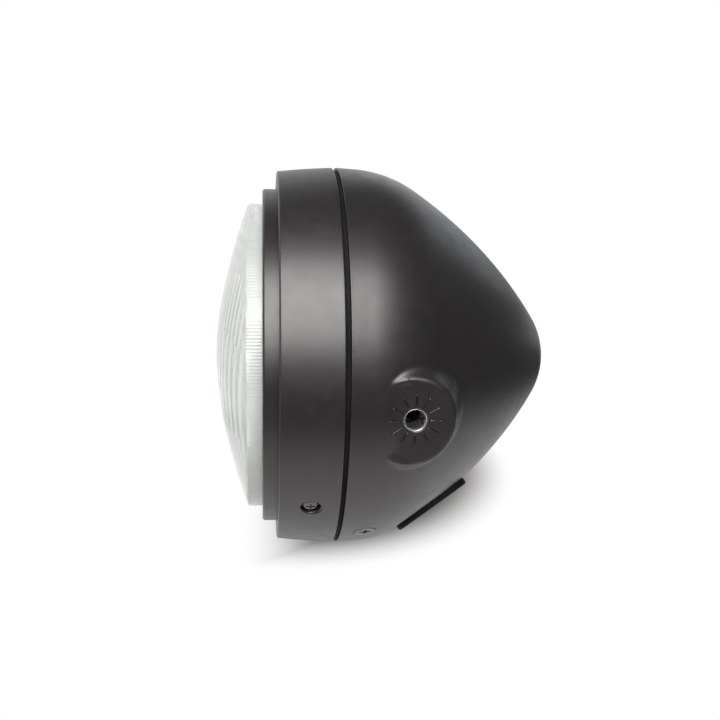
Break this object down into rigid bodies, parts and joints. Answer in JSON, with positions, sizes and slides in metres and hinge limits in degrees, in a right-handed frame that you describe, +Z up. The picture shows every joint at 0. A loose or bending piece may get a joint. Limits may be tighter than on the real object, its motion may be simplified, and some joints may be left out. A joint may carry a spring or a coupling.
{
  "type": "motorcycle headlight",
  "caption": "Round headlight for a motorcycle: a domed fluted lens, a deep steel shell with side bolt mounts, a trim ring and a rubber cable blank.",
  "frame": {"origin": "the middle of the side bolt axis, where it crosses the lamp's own axis", "axes": "-X is the way the lamp shines, +Y along the side bolt axis towards the lamp's right-hand bolt, +Z up as mounted"},
  "size_m": [0.1779, 0.199, 0.199],
  "materials": {
    "housing_shell": "satin black paint",
    "side_bush_left": "turned, zinc plated",
    "side_bush_right": "turned, zinc plated",
    "cable_grommet": "matt moulded rubber",
    "shell_screw_left": "zinc plated",
    "shell_screw_right": "zinc plated",
    "shell_screw_nuts": "zinc plated",
    "lower_bracket": "pressed, zinc plated",
    "ring_screw_nuts": "zinc plated",
    "rim_seal": "matt rubber",
    "trim_ring": "satin black paint",
    "top_hook": "pressed, zinc plated",
    "ring_screw_left": "dark zinc plated",
    "ring_screw_right": "dark zinc plated",
    "retaining_ring": "satin black paint",
    "lens_gasket": "matt rubber",
    "lens_glass": "pressed glass, moulded flutes inside",
    "reflector": "vapour coated aluminium",
    "clamp_ring": "pressed, zinc plated",
    "clamp_screws": "zinc plated",
    "spring_clips": "spring steel",
    "bulb_glass": "clear",
    "bulb_filaments": "tungsten and molybdenum",
    "bulb_base": "nickel plated",
    "bulb_terminals": "plain",
    "bulb_clip": "spring wire",
    "rubber_boot": "soft rubber",
    "parking_bulb": "clear",
    "parking_socket": "moulded"
  },
  "bodies": {
    "root": {"housing_shell": "housing_shell", "side_bush_left": "side_bush_left", "side_bush_right": "side_bush_right", "cable_grommet": "cable_grommet", "shell_screw_left": "shell_screw_left", "shell_screw_right": "shell_screw_right", "shell_screw_nuts": "shell_screw_nuts", "lower_bracket": "lower_bracket", "ring_screw_nuts": "ring_screw_nuts", "rim_seal": "rim_seal", "trim_ring": "trim_ring", "top_hook": "top_hook", "ring_screw_left": "ring_screw_left", "ring_screw_right": "ring_screw_right", "retaining_ring": "retaining_ring", "lens_gasket": "lens_gasket", "lens_glass": "lens_glass", "reflector": "reflector", "clamp_ring": "clamp_ring", "clamp_screws": "clamp_screws", "spring_clips": "spring_clips", "bulb_glass": "bulb_glass", "bulb_filaments": "bulb_filaments", "bulb_base": "bulb_base", "bulb_terminals": "bulb_terminals", "bulb_clip": "bulb_clip", "rubber_boot": "rubber_boot", "parking_bulb": "parking_bulb", "parking_socket": "parking_socket"}
  },
  "joints": []
}
